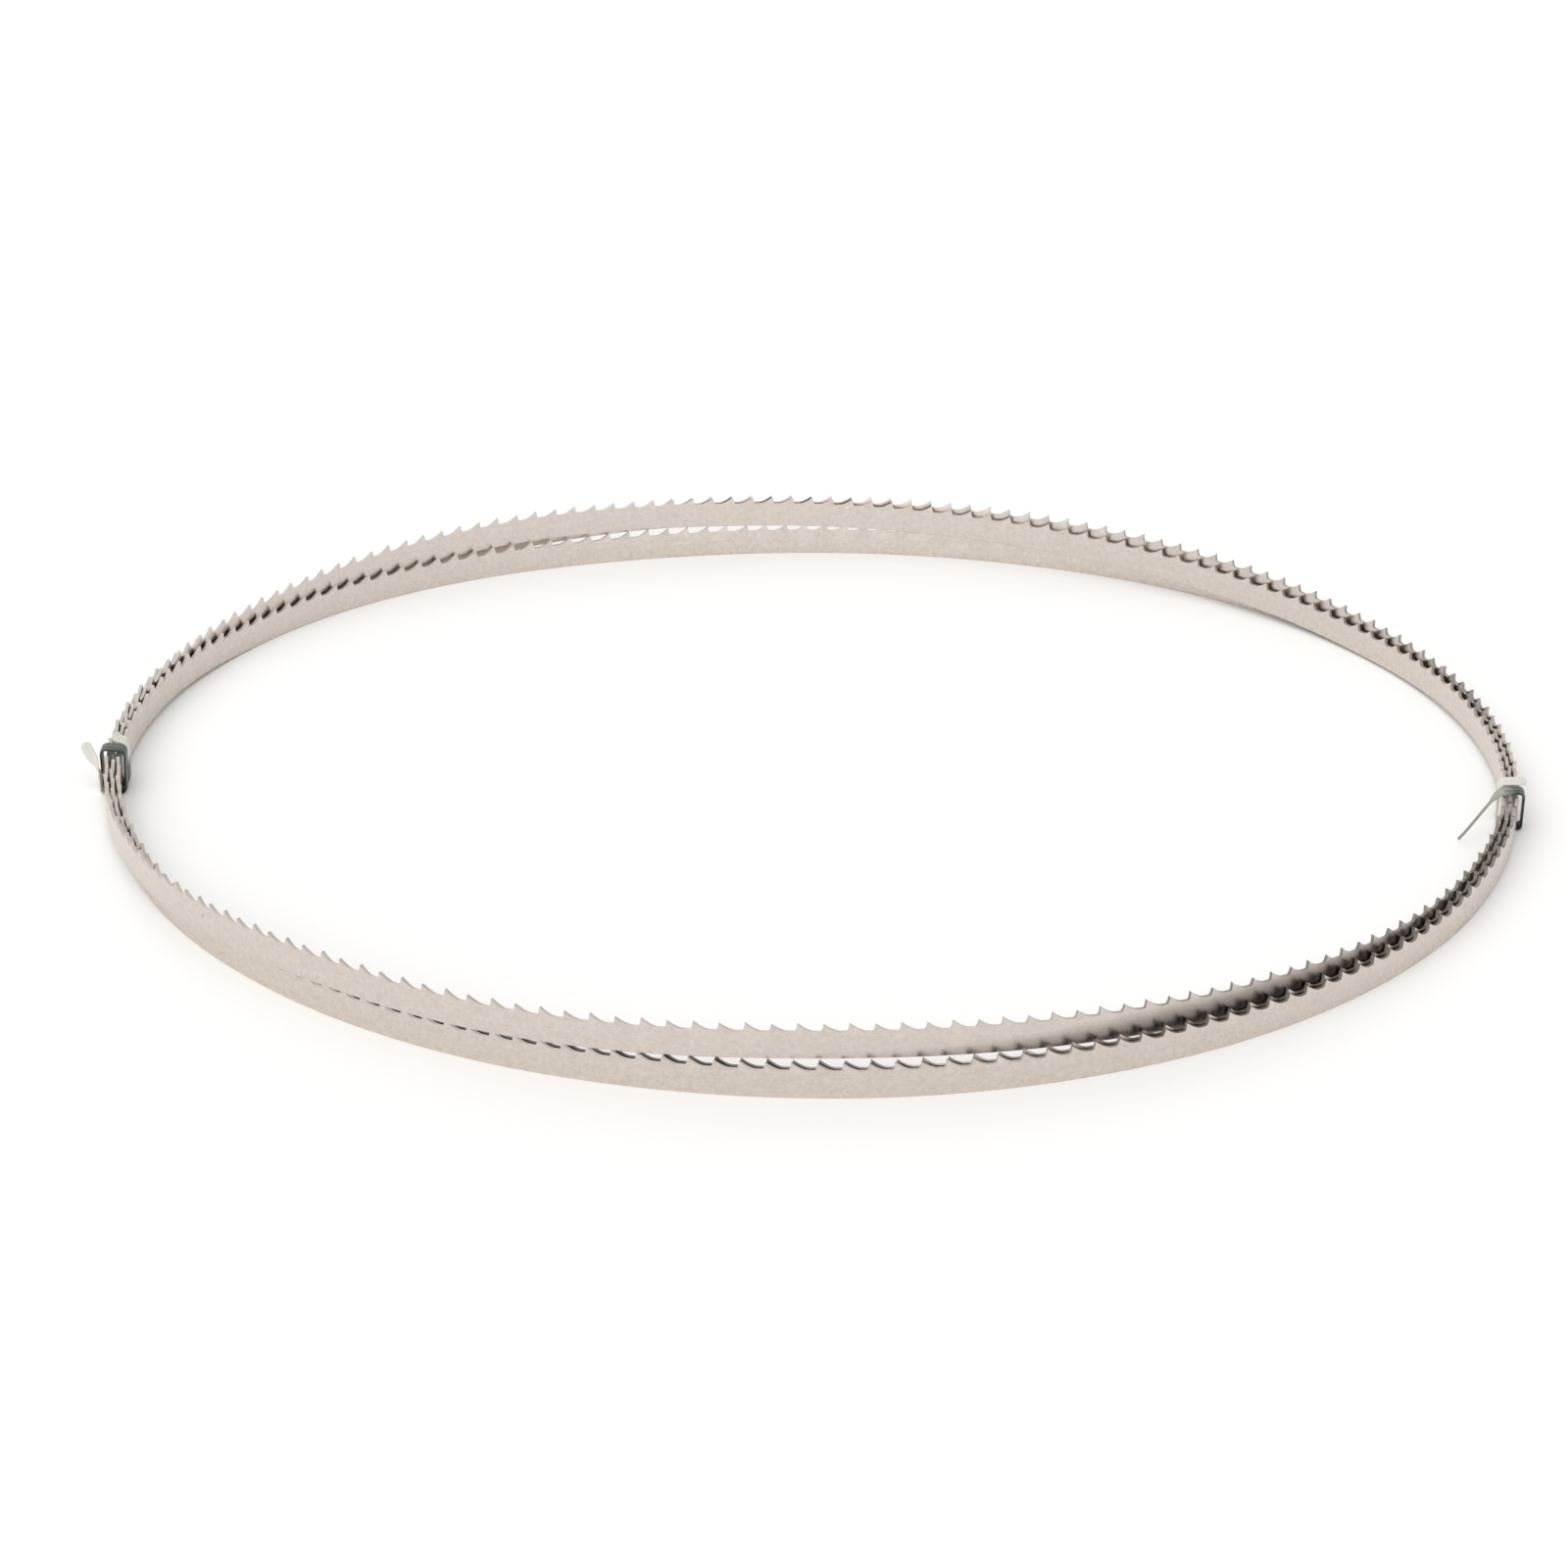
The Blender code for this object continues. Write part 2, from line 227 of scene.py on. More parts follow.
def band_frames(distance):
    """Foot points, width directions and outward face normals at distances along."""
    turn = np.interp(distance, band_run, sample_turns)
    foot, width = band_state(turn, loop_radius)
    before = band_state(turn - SLOPE_TURN, loop_radius)[0]
    after = band_state(turn + SLOPE_TURN, loop_radius)[0]
    normal = np.cross(after - before, width)
    normal /= np.linalg.norm(normal, axis=1, keepdims=True)
    normal *= np.sign(np.sum(normal[:, :2] * foot[:, :2], axis=1))[:, None]
    return foot, width, normal


print("frames at the start:", [np.round(v[0], 3).tolist() for v in band_frames(np.zeros(1))])

# %% [markdown]
# ## The teeth
#
# Saw teeth are milled into the strip before it is hardened. Each gullet has a
# steep front with a rounded corner, a flat bottom, and a hollow back that climbs
# to the next tip. Two powers draw that outline: a high one for the steep front
# and a low one for the hollow back. The teeth could be cut out of a plain band
# with booleans, but 561 cuts are slow and leave ragged faces. Here the edge is
# laid in the right place from the start.
#
# Then the teeth are set: every other tooth is bent to the other side, so that
# the cut is wider than the band. The bend is strongest at the tip and gone at
# the bottom of the gullet.

# %% Outline of a tooth
FRONT_END = 0.13
FRONT_POWER = 3.0
BACK_START = 0.36
BACK_POWER = 1.6

# where the sections lie on each pitch, and how far back a tooth owns the edge's side
TOOTH_SHARES = (0.0, 0.012, 0.028, 0.05, 0.08, 0.13, 0.25, 0.40, 0.53, 0.66, 0.79, 0.90, 0.97)
OWN_SIDE_END = 0.25


def tooth_depth(share):
    """How far the edge lies below the tips, in gullet depths, at a share of the pitch."""
    front = np.maximum(0.0, 1.0 - share / FRONT_END)
    back = np.maximum(0.0, (share - BACK_START) / (1.0 - BACK_START))
    return 1.0 - front ** FRONT_POWER - back ** BACK_POWER


def tooth_sides(tooth, share):
    """The side that the edge is bent to: this tooth's in front, the next one's behind."""
    owner = np.where(share < OWN_SIDE_END, tooth, tooth + 1) % TEETH
    return np.where(owner % 2 == 1, 1.0, -1.0)


tooth_depths = GULLET_DEPTH * tooth_depth(np.array(TOOTH_SHARES))
print("depth along a tooth, mm:", np.round(1000 * tooth_depths, 2).tolist())

# %% [markdown]
# ## The band as a mesh
#
# The band is one closed ribbon. A section of eight points is laid across it at
# each place along the teeth: the back edge with its broken corners, the two
# faces up to the bottom of the gullets, and the toothed edge. Joining each
# section to the next, and the last to the first, closes the ribbon.
#
# A curve with a bevel would be quicker to write, but it has one section all the
# way, and here the toothed edge moves up, down and sideways from place to place.

# %% Sections of the band
CORNER = 0.00012
BELOW_GULLET = 0.00025
ROOT_ROW = BLADE_WIDTH - GULLET_DEPTH - BELOW_GULLET

tooth_of = np.repeat(np.arange(TEETH), len(TOOTH_SHARES))
share_of = np.tile(TOOTH_SHARES, TEETH)
band_distance = (tooth_of + share_of) * BLADE_LENGTH / TEETH
foot, width, normal = band_frames(band_distance)
depth = tooth_depth(share_of)
edge_height = BLADE_WIDTH - depth * GULLET_DEPTH
edge_shift = tooth_sides(tooth_of, share_of) * TOOTH_SET * (1.0 - depth)
half_thick = 0.5 * BLADE_THICKNESS


def section_points(height, shift):
    """One row of points along the band, at a height on it and a shift outward."""
    return foot + width * np.reshape(height, (-1, 1)) + normal * np.reshape(shift, (-1, 1))


# once round the section, from the back edge up the inner face: (height, shift outward)
rows = ((0.0, -half_thick + CORNER), (CORNER, -half_thick), (ROOT_ROW, -half_thick),
        (edge_height, edge_shift - half_thick), (edge_height, edge_shift + half_thick),
        (ROOT_ROW, half_thick), (CORNER, half_thick), (0.0, half_thick - CORNER))
band_points = np.stack([section_points(*row) for row in rows], axis=1)
print("sections:", len(band_points), "of", len(rows), "points")

# %% [markdown]
# ## In the solid model's place
#
# The solid model was moved so that its box is centred over the origin. The same
# move is found here by comparing the two bands' boxes, so that the finer band
# lies exactly in the solid one's place.

# %% The move over the origin
solid_low, solid_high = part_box("blade")
flat_points = band_points.reshape(-1, 3)
band_middle = Vector(0.5 * (flat_points.min(0) + flat_points.max(0)))
centring = 0.5 * (Vector(solid_low) + Vector(solid_high)) - band_middle
centring.z = 0.0
print("centring, mm:", [round(1000 * v, 3) for v in centring])

# %% [markdown]
# ## From points to a finished mesh
#
# Blender takes a mesh as a list of points and a list of faces that name their
# corners. The band and the ties are both sweeps, one section after another, so
# they share three helpers: one makes the object and marks its sharp edges, one
# lists the faces between the sections, and one lays a map on the surface.

# %% Helpers for meshes


def new_object(name, points, faces, sharp_degrees):
    """A smooth object in which edges sharper than the given angle stay sharp."""
    mesh = bpy.data.meshes.new(name)
    mesh.from_pydata(points, [], faces)
    mesh.validate()
    mesh.shade_smooth()
    mesh.set_sharp_from_angle(angle=math.radians(sharp_degrees))
    made = bpy.data.objects.new(name, mesh)
    bpy.context.scene.collection.objects.link(made)
    return made


def ring_faces(sections, corners, closed):
    """Four-sided faces between neighbouring sections; each row is one face's corners."""
    here = np.repeat(np.arange(sections if closed else sections - 1), corners)
    corner = np.tile(np.arange(corners), sections if closed else sections - 1)
    there = (here + 1) % sections
    after = (corner + 1) % corners
    return np.stack((here * corners + corner, there * corners + corner,
                     there * corners + after, here * corners + after), axis=1)


def map_surface(mesh, along, height, name="strip"):
    """Lay a map on the mesh: for each face corner, metres along and metres up."""
    layer = mesh.uv_layers.new(name=name)
    layer.data.foreach_set("uv", np.stack((along, height), axis=-1).ravel())


print("helpers: new_object, ring_faces, map_surface")

# %% [markdown]
# ## Where the painted groove shade lies
#
# Along the front right, from the front's middle to the left, and at the back
# right, the grooves between the strips are dark and soft, because the strips
# shade each other there. That shade is painted into the steel's colour as a dark
# film, and a map of its own carries it. Its first number says how much painted
# shade a place may have. Its second says how high the place lies in the shade's
# own reach, from 0 at the bottom to 1 where the shade ends. Both are told along
# each half loop by a few places, and the values between them are interpolated.
# A noise would be less work, but it would put the shade anywhere, and this shade
# follows the fold.

# %% Painted groove shade along the run
# the section's points from this number on lie on the outer face
OUTER_ROWS = 4

# painted shade on outer faces: half loop: (places on it, how dark, how far up it reaches)
PAINTED_FACE_SHADE = {
    0: ((0.44, 0.52, 0.60, 0.72, 0.80), (0.0, 0.70, 0.85, 0.80, 0.0), (0.003,) * 5),
    4: ((0.06, 0.18, 0.27, 0.34, 0.41, 0.47, 0.52), (0.0, 0.48, 0.70, 0.66, 0.38, 0.14, 0.0),
        (0.0020, 0.0030, 0.0042, 0.0042, 0.0026, 0.0016, 0.0015)),
}
# painted shade on toothed edges: half loop: (places on it, how dark)
FRONT_EDGES = ((0.02, 0.08, 0.34, 0.42), (0.0, 0.55, 0.55, 0.0))
BACK_EDGES = ((0.58, 0.66, 0.93, 0.98), (0.0, 0.38, 0.38, 0.0))
INNER_FRONT_EDGES = ((0.02, 0.08, 0.34, 0.44, 0.54, 0.72, 0.80),
                     (0.0, 0.55, 0.55, 0.10, 0.80, 0.80, 0.0))
PAINTED_EDGE_SHADE = {0: INNER_FRONT_EDGES, 1: BACK_EDGES, 2: FRONT_EDGES,
             3: BACK_EDGES, 4: FRONT_EDGES, 5: BACK_EDGES}


def painted_shade_map(points):
    """Painted shade on the faces and its height, by corner, and on the edges, by section."""
    turn = np.interp(band_distance, band_run, sample_turns)
    share = turn / math.pi
    faces, edge_shade = np.zeros(len(turn)), np.zeros(len(turn))
    reach = np.ones(len(turn))
    for half, (places, film_and_shade, reaches) in PAINTED_FACE_SHADE.items():
        here = (share >= half) & (share < half + 1)
        faces[here] = np.interp(share[here] - half, places, film_and_shade)
        reach[here] = np.interp(share[here] - half, places, reaches)
    for half, (places, film_and_shade) in PAINTED_EDGE_SHADE.items():
        here = (share >= half) & (share < half + 1)
        edge_shade[here] = np.interp(share[here] - half, places, film_and_shade)
    height = (points[:, :, 2] - BLADE_WIDTH - tie_rise(-turn)[:, None]) / reach[:, None]
    outer = np.arange(points.shape[1]) >= OUTER_ROWS
    return faces[:, None] * outer, height, edge_shade


print("half loops with film on the face:", sorted(PAINTED_FACE_SHADE))

# %% [markdown]
# ## The band's faces, finishes and maps
#
# Each face between two sections starts from one corner of its section, and that
# corner tells its finish: milled on the toothed edge and on the back edge, rolled
# elsewhere. The first map gives metres along and up the strip, so that rolling
# marks can run along it at their real size. Where the ribbon closes, the far
# corners of the last faces get the whole length and not zero, or the whole map
# would be squeezed into the last gap.

# %% The band
BAND_SHARP_DEGREES = 30.0
ROLLED, MILLED = 0, 1


def build_band():
    """The band as one object with its finishes' numbers and its two maps."""
    sections, corners, _ = band_points.shape
    faces = ring_faces(sections, corners, True)
    section_of, corner_of = faces // corners, faces % corners
    points = band_points.reshape(-1, 3) + np.array(centring)
    made = new_object("band", points.tolist(), faces.tolist(), BAND_SHARP_DEGREES)

    along = band_distance[section_of]
    along[-corners:, 1:3] = BLADE_LENGTH
    heights = np.stack([np.broadcast_to(row[0], sections) for row in rows], axis=1)
    map_surface(made.data, along, heights[section_of, corner_of])

    # the second map carries the painted shade of the grooves, on the faces and on the toothed
    # edges
    film_and_shade, height, edge_shade = painted_shade_map(band_points)
    film_and_shade, height = film_and_shade[section_of, corner_of], height[section_of, corner_of]
    toothed = corner_of[:, 0] == OUTER_ROWS - 1
    film_and_shade[toothed] = edge_shade[section_of[toothed]]
    height[toothed] = 0.0
    map_surface(made.data, film_and_shade, height, "groove_shade")

    milled = toothed | (corner_of[:, 0] == corners - 1)
    made.data.polygons.foreach_set("material_index", np.where(milled, MILLED, ROLLED))
    return made


band = build_band()
print("band:", len(band.data.polygons), "faces")

# %% [markdown]
# ## Rolling marks and specks
#
# Steel strip is rolled to its thickness, which leaves fine marks that run along
# it, and it is stored with a thin uneven film of oil. A few specks of rust and dirt
# sit on it. Both effects are wanted on the faces and on the milled edges, so each
# is a node group with named sockets, built once and placed in both materials
# with its own values.
#
# The groups read the map of the strip, in metres. Rolling marks come from noise
# that is stretched a hundred times along the band. Specks come from a Voronoi
# pattern: each cell has a random colour, and only a few cells may show a spot.

# %% Helpers for node trees
# a Mix node has sockets for every kind of data: these are its share and colours
MIX_SHARE, MIX_FIRST, MIX_SECOND, MIX_COLOUR = 0, 6, 7, 2


def place(tree, kind, inputs=None, **settings):
    """Add a node, set its own settings and the plain values of its inputs."""
    node = tree.nodes.new(kind)
    for name, value in settings.items():
        setattr(node, name, value)
    for name, value in (inputs or {}).items():
        node.inputs[name].default_value = value
    return node


def new_group(name, inputs, outputs):
    """A shader node group with named sockets; an input is (kind, name, value)."""
    tree = bpy.data.node_groups.new(name, "ShaderNodeTree")
    for kind, socket, value in inputs:
        made = tree.interface.new_socket(name=socket, in_out="INPUT", socket_type=kind)
        if value is not None:
            made.default_value = value
    for kind, socket in outputs:
        tree.interface.new_socket(name=socket, in_out="OUTPUT", socket_type=kind)
    return tree, tree.nodes.new("NodeGroupInput"), tree.nodes.new("NodeGroupOutput")


def maths(tree, operation, first, second=None):
    """A Math node; first and second are numbers or output sockets."""
    node = place(tree, "ShaderNodeMath", operation=operation)
    for socket, value in zip(node.inputs, (first, second)):
        if isinstance(value, (int, float)):
            socket.default_value = value
        elif value is not None:
            tree.links.new(value, socket)
    return node.outputs[0]


def remap(tree, value, old, new=(0.0, 1.0), smooth=False):
    """A Map Range node that carries a socket's value from the old range to the new."""
    node = place(tree, "ShaderNodeMapRange",
                 {"From Min": old[0], "From Max": old[1], "To Min": new[0], "To Max": new[1]},
                 interpolation_type="SMOOTHSTEP" if smooth else "LINEAR")
    tree.links.new(value, node.inputs["Value"])
    return node.outputs[0]


def mix_colours(tree, share, first, second):
    """A Mix node from first, a colour or a socket, to second, a colour."""
    node = place(tree, "ShaderNodeMix", data_type="RGBA")
    tree.links.new(share, node.inputs[MIX_SHARE])
    if isinstance(first, bpy.types.NodeSocket):
        tree.links.new(first, node.inputs[MIX_FIRST])
    else:
        node.inputs[MIX_FIRST].default_value = first
    node.inputs[MIX_SECOND].default_value = second
    return node.outputs[MIX_COLOUR]


print("helpers: place, new_group, maths, remap, mix_colours")

# %% [markdown]
# The first group takes the map of the strip and how fine its marks are, and puts
# out two values from 0 to 1: the marks themselves and the thin film over them.

# %% Group: rolling marks
FLOAT, VECTOR = "NodeSocketFloat", "NodeSocketVector"


def build_rolling_marks():
    tree, given, out = new_group(
        "rolling marks",
        ((VECTOR, "Strip map", None), (FLOAT, "Marks per metre along", 90.0),
         (FLOAT, "Marks per metre up", 9000.0), (FLOAT, "Film per metre", 70.0)),
        ((FLOAT, "Marks"), (FLOAT, "Film")))
    stretch = place(tree, "ShaderNodeCombineXYZ", {"Z": 0.0})
    tree.links.new(given.outputs["Marks per metre along"], stretch.inputs["X"])
    tree.links.new(given.outputs["Marks per metre up"], stretch.inputs["Y"])
    scaled = place(tree, "ShaderNodeVectorMath", operation="MULTIPLY")
    tree.links.new(given.outputs["Strip map"], scaled.inputs[0])
    tree.links.new(stretch.outputs[0], scaled.inputs[1])
    marks = place(tree, "ShaderNodeTexNoise", {"Scale": 1.0, "Detail": 3.0, "Roughness": 0.65})
    tree.links.new(scaled.outputs[0], marks.inputs["Vector"])
    film_and_shade = place(tree, "ShaderNodeTexNoise", {"Detail": 8.0, "Roughness": 0.72, "Distortion": 0.4})
    tree.links.new(given.outputs["Strip map"], film_and_shade.inputs["Vector"])
    tree.links.new(given.outputs["Film per metre"], film_and_shade.inputs["Scale"])
    tree.links.new(marks.outputs["Fac"], out.inputs["Marks"])
    tree.links.new(film_and_shade.outputs["Fac"], out.inputs["Film"])
    return tree


rolling_marks = build_rolling_marks()
print("group:", rolling_marks.name)

# %% [markdown]
# The second group puts out one value: 1 in a speck, 0 outside, soft between. The
# red part of a cell's random colour decides whether its speck shows, and the
# green part how large it is.

# %% Group: specks
SMALLEST_SPECK = 0.35
SPECK_EDGE = 2.0


def build_specks():
    tree, given, out = new_group(
        "specks",
        ((VECTOR, "Strip map", None), (FLOAT, "Cells per metre", 170.0),
         (FLOAT, "Size", 0.10), (FLOAT, "Share shown", 0.06)),
        ((FLOAT, "Speck"),))
    cells = place(tree, "ShaderNodeTexVoronoi", {"Randomness": 1.0})
    tree.links.new(given.outputs["Strip map"], cells.inputs["Vector"])
    tree.links.new(given.outputs["Cells per metre"], cells.inputs["Scale"])
    chance = place(tree, "ShaderNodeSeparateColor")
    tree.links.new(cells.outputs["Color"], chance.inputs[0])
    shown = maths(tree, "LESS_THAN", chance.outputs[0], given.outputs["Share shown"])
    size = maths(tree, "MULTIPLY", given.outputs["Size"],
                 maths(tree, "ADD", chance.outputs[1], SMALLEST_SPECK))
    near = maths(tree, "SUBTRACT", 1.0, maths(tree, "DIVIDE", cells.outputs["Distance"], size))
    inside = maths(tree, "MAXIMUM", near, 0.0)
    soft = maths(tree, "MINIMUM", maths(tree, "MULTIPLY", inside, SPECK_EDGE), 1.0)
    tree.links.new(maths(tree, "MULTIPLY", soft, shown), out.inputs["Speck"])
    return tree


specks = build_specks()
print("group:", specks.name)

# %% [markdown]
# ## The two steel finishes
#
# The faces are satin: they show the pale surroundings softly, a little warmer
# and darker than a mirror. The milled edges are cut after rolling, so they are
# rougher, their tool marks run across the strip, and they are only partly metal
# here, because a cut and oiled edge scatters light as well as mirroring it. One
# function builds both with other values.
#
# Rolling marks are far finer than a pixel, so their work is mostly to spread
# the gloss along the band. The material does that in two ways: roughness that
# follows the marks, and a faint bump from them. Colour is laid on in three
# steps: bare steel, then rust specks, then the painted shade of the grooves,
# which is darkest at the bottom of its reach.

# %% Build a steel finish
RUST = (0.16, 0.085, 0.05, 1.0)
# painted shade: the dark colour laid into the grooves between the strips
GROOVE_SHADE_COLOUR = (0.030, 0.022, 0.016, 1.0)
TONE_RANGE = (0.39, 0.61)
MARKS_SHARE, FILM_SHARE = 0.35, 0.65
BUMP_STRENGTH, BUMP_HEIGHT = 0.12, 0.00002


def build_steel(name, dark, light, metal, rough, marks, speck):
    """rough is (smoothest, roughest); marks and speck are the groups' own values."""
    made = bpy.data.materials.new(name)
    made.use_nodes = True
    tree = made.node_tree
    shader = tree.nodes["Principled BSDF"]
    shader.inputs["Metallic"].default_value = metal
    strip = place(tree, "ShaderNodeUVMap", uv_map="strip")
    surface = place(tree, "ShaderNodeGroup", node_tree=rolling_marks)
    spots = place(tree, "ShaderNodeGroup", node_tree=specks)
    for node, values in ((surface, marks), (spots, speck)):
        tree.links.new(strip.outputs[0], node.inputs["Strip map"])
        for socket, value in values.items():
            node.inputs[socket].default_value = value
    tone = maths(tree, "ADD", maths(tree, "MULTIPLY", surface.outputs["Marks"], MARKS_SHARE),
                 maths(tree, "MULTIPLY", surface.outputs["Film"], FILM_SHARE))
    spread = remap(tree, tone, TONE_RANGE)
    bare = mix_colours(tree, spread, (*dark, 1.0), (*light, 1.0))
    stained = mix_colours(tree, spots.outputs["Speck"], bare, RUST)
    # the painted shade of the grooves, read from the second map, goes on last
    groove_shade = place(tree, "ShaderNodeUVMap", uv_map="groove_shade")
    shade_split = place(tree, "ShaderNodeSeparateXYZ")
    tree.links.new(groove_shade.outputs[0], shade_split.inputs[0])
    low = remap(tree, shade_split.outputs["Y"], (0.0, 1.0), (1.0, 0.0), smooth=True)
    shaded = mix_colours(tree, maths(tree, "MULTIPLY", shade_split.outputs["X"], low), stained, GROOVE_SHADE_COLOUR)
    tree.links.new(shaded, shader.inputs["Base Color"])
    gloss = remap(tree, spread, (0.0, 1.0), rough)
    tree.links.new(gloss, shader.inputs["Roughness"])
    relief = place(tree, "ShaderNodeBump", {"Strength": BUMP_STRENGTH, "Distance": BUMP_HEIGHT})
    tree.links.new(surface.outputs["Marks"], relief.inputs["Height"])
    tree.links.new(relief.outputs[0], shader.inputs["Normal"])
    return made


rolled_steel = build_steel(
    "rolled steel", dark=(0.60, 0.540, 0.492), light=(0.72, 0.655, 0.604),
    metal=1.0, rough=(0.24, 0.34),
    marks={"Marks per metre along": 90.0, "Marks per metre up": 9000.0,
           "Film per metre": 900.0},
    speck={"Cells per metre": 190.0, "Size": 0.09, "Share shown": 0.13})
milled_steel = build_steel(
    "milled steel", dark=(0.50, 0.45, 0.41), light=(0.62, 0.565, 0.52),
    metal=0.45, rough=(0.42, 0.56),
    marks={"Marks per metre along": 9000.0, "Marks per metre up": 600.0,
           "Film per metre": 160.0},
    speck={"Cells per metre": 300.0, "Size": 0.12, "Share shown": 0.04})
band.data.materials.append(rolled_steel)
band.data.materials.append(milled_steel)
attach(band, "root")
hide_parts("blade")
print("finishes:", [slot.name for slot in band.data.materials])

# %% [markdown]
# ## The two ties
#
# Each tie is a flat plastic strip with a soft wire down its middle. It is wound
# round the bundle a little more than once, close but not touching, and its two
# ends stick out. So it is made as a sweep: a section is carried along a line
# that first goes round the bundle as straight stretches with round corners, and
# then runs out into two curved tails.
#
# The strip has to lie flat on the bundle while it bends, so the sweep is told at
# each place which way the flat side looks, and turns the section to suit. A
# curve object with a bevel chooses that turn by itself, and the strip would
# twist where it leaves the bundle.

# %% Sizes of the ties
TIE_WIDTH = 0.0034
TIE_EDGE = 0.00034
TIE_TOP_CORNER = 0.0012
TIE_FOOT_CORNER = 0.00085

# the room that the strip leaves over the tips of the teeth
TIE_ARCH = 0.00052

# places in one turn, and places for each step of a tail
TIE_STEPS = 96
TAIL_FINENESS = 4

# the share of a tail that it narrows over, and how much its end is rounded off
NARROWING = 0.45
BLUNT = 0.85

# place is in degrees on the coil, and side makes "to the back" mean the coil's own
# back at both ties. The winding is (start on the way round, turns, step to the front
# in one turn). leaving and arriving shape a tail's curve: how hard it leaves, and the
# direction that it ends in. Points and directions are (outwards, to the back, up).
Tail = namedtuple("Tail", "end leaving arriving flat width_share steps")
Tie = namedtuple("Tie", "node place side winding start_tail end_tail")
TIES = (
    Tie("tie_left", 181.9, -1.0, (0.06, 1.62, 0.0038),
        Tail((0.0004, 0.0030, 0.0089), 0.6, (1.0, 0.1, 0.2), (-0.2, -0.3, 0.9), 0.85, 6),
        Tail((0.0050, -0.0030, 0.0102), 0.9, (0.40, 0.0, 0.90), (-0.1, -1.0, 0.3), 0.60, 14)),
    Tie("tie_right", -6.6, 1.0, (0.95, 1.13, 0.0042),
        Tail((0.0028, 0.0027, 0.0081), 0.5, (1.0, 0.1, -0.1), (0.1, -0.2, 0.9), 0.85, 6),
        Tail((-0.0094, -0.0092, 0.0010), 0.45, (-0.7, -0.6, -0.55), (-0.7, 0.3, 0.65),
             0.14, 14)),
)
print("ties:", [tie.node for tie in TIES])

# %% [markdown]
# ## Once round the bundle
#
# Cut across, the bundle is an upright block, so a strip that goes closely round
# it is a rounded rectangle: wider corners on top, where the teeth are, and
# tighter ones at the foot. It is kept as a list of stretches, each with its
# length, so that a share of the way round can be turned into a point.

# %% The way round the bundle
SHORTEST = 1e-9


def direction(degrees):
    """The flat direction at an angle."""
    return Vector((math.cos(math.radians(degrees)), math.sin(math.radians(degrees))))


def loop_outline():
    """Straight stretches and round corners: (length, start, heading, centre, radius, angle)."""
    half_x = LAYER_STEP + 0.5 * BLADE_THICKNESS + TOOTH_SET + TIE_GAP + 0.5 * TIE_CORE
    top = 0.5 * BLADE_WIDTH + TIE_ARCH + 0.5 * TIE_CORE
    bottom = -0.5 * BLADE_WIDTH - TIE_GAP - 0.5 * TIE_CORE
    corners = ((-1, top, TIE_TOP_CORNER, 90.0), (-1, bottom, TIE_FOOT_CORNER, 180.0),
               (1, bottom, TIE_FOOT_CORNER, 270.0), (1, top, TIE_TOP_CORNER, 0.0))
    stretches = []
    here = Vector((0.0, top))
    for side, level, corner, angle in corners:
        centre = Vector((side * (half_x - corner), level - math.copysign(corner, level)))
        start = centre + direction(angle) * corner
        step = start - here
        if step.length > SHORTEST:
            stretches.append((step.length, here, step.normalized(), None, 0.0, angle))
        stretches.append((0.5 * math.pi * corner, start, None, centre, corner, angle))
        here = centre + direction(angle + 90.0) * corner
    step = Vector((0.0, top)) - here
    stretches.append((step.length, here, step.normalized(), None, 0.0, 90.0))
    return stretches


def loop_point(stretches, share):
    """Point and outward direction at a share of the way round the bundle."""
    distance = (share % 1.0) * sum(stretch[0] for stretch in stretches)
    for length, start, heading, centre, corner, angle in stretches:
        if distance <= length:
            break
        distance -= length
    if heading is None:
        out = direction(angle + 90.0 * distance / length)
        return centre + out * corner, out
    return start + heading * distance, direction(angle)


way_round = sum(stretch[0] for stretch in loop_outline())
print("once round the bundle, mm:", round(1000 * way_round, 1))

# %% [markdown]
# ## The line that a tie follows
#
# The winding steps to the front as it goes round, so that the second turn lies
# beside the first. Each tail is a cubic curve: it leaves in the direction that
# the winding has, and arrives in one that is read from the photograph. The strip
# grows narrower along the tail, and its end is cut blunt.

# %% Centre line of a tie


def smooth_tail(start, start_way, end, end_way, steps):
    """Points of a cubic curve from start to end, the start left out."""
    reach = (end - start).length
    points = []
    for k in range(1, steps + 1):
        t = k / steps
        points.append(start * (2 * t ** 3 - 3 * t ** 2 + 1)
                      + start_way * (reach * (t ** 3 - 2 * t ** 2 + t))
                      + end * (3 * t ** 2 - 2 * t ** 3)
                      + end_way * (reach * (t ** 3 - t ** 2)))
    return points


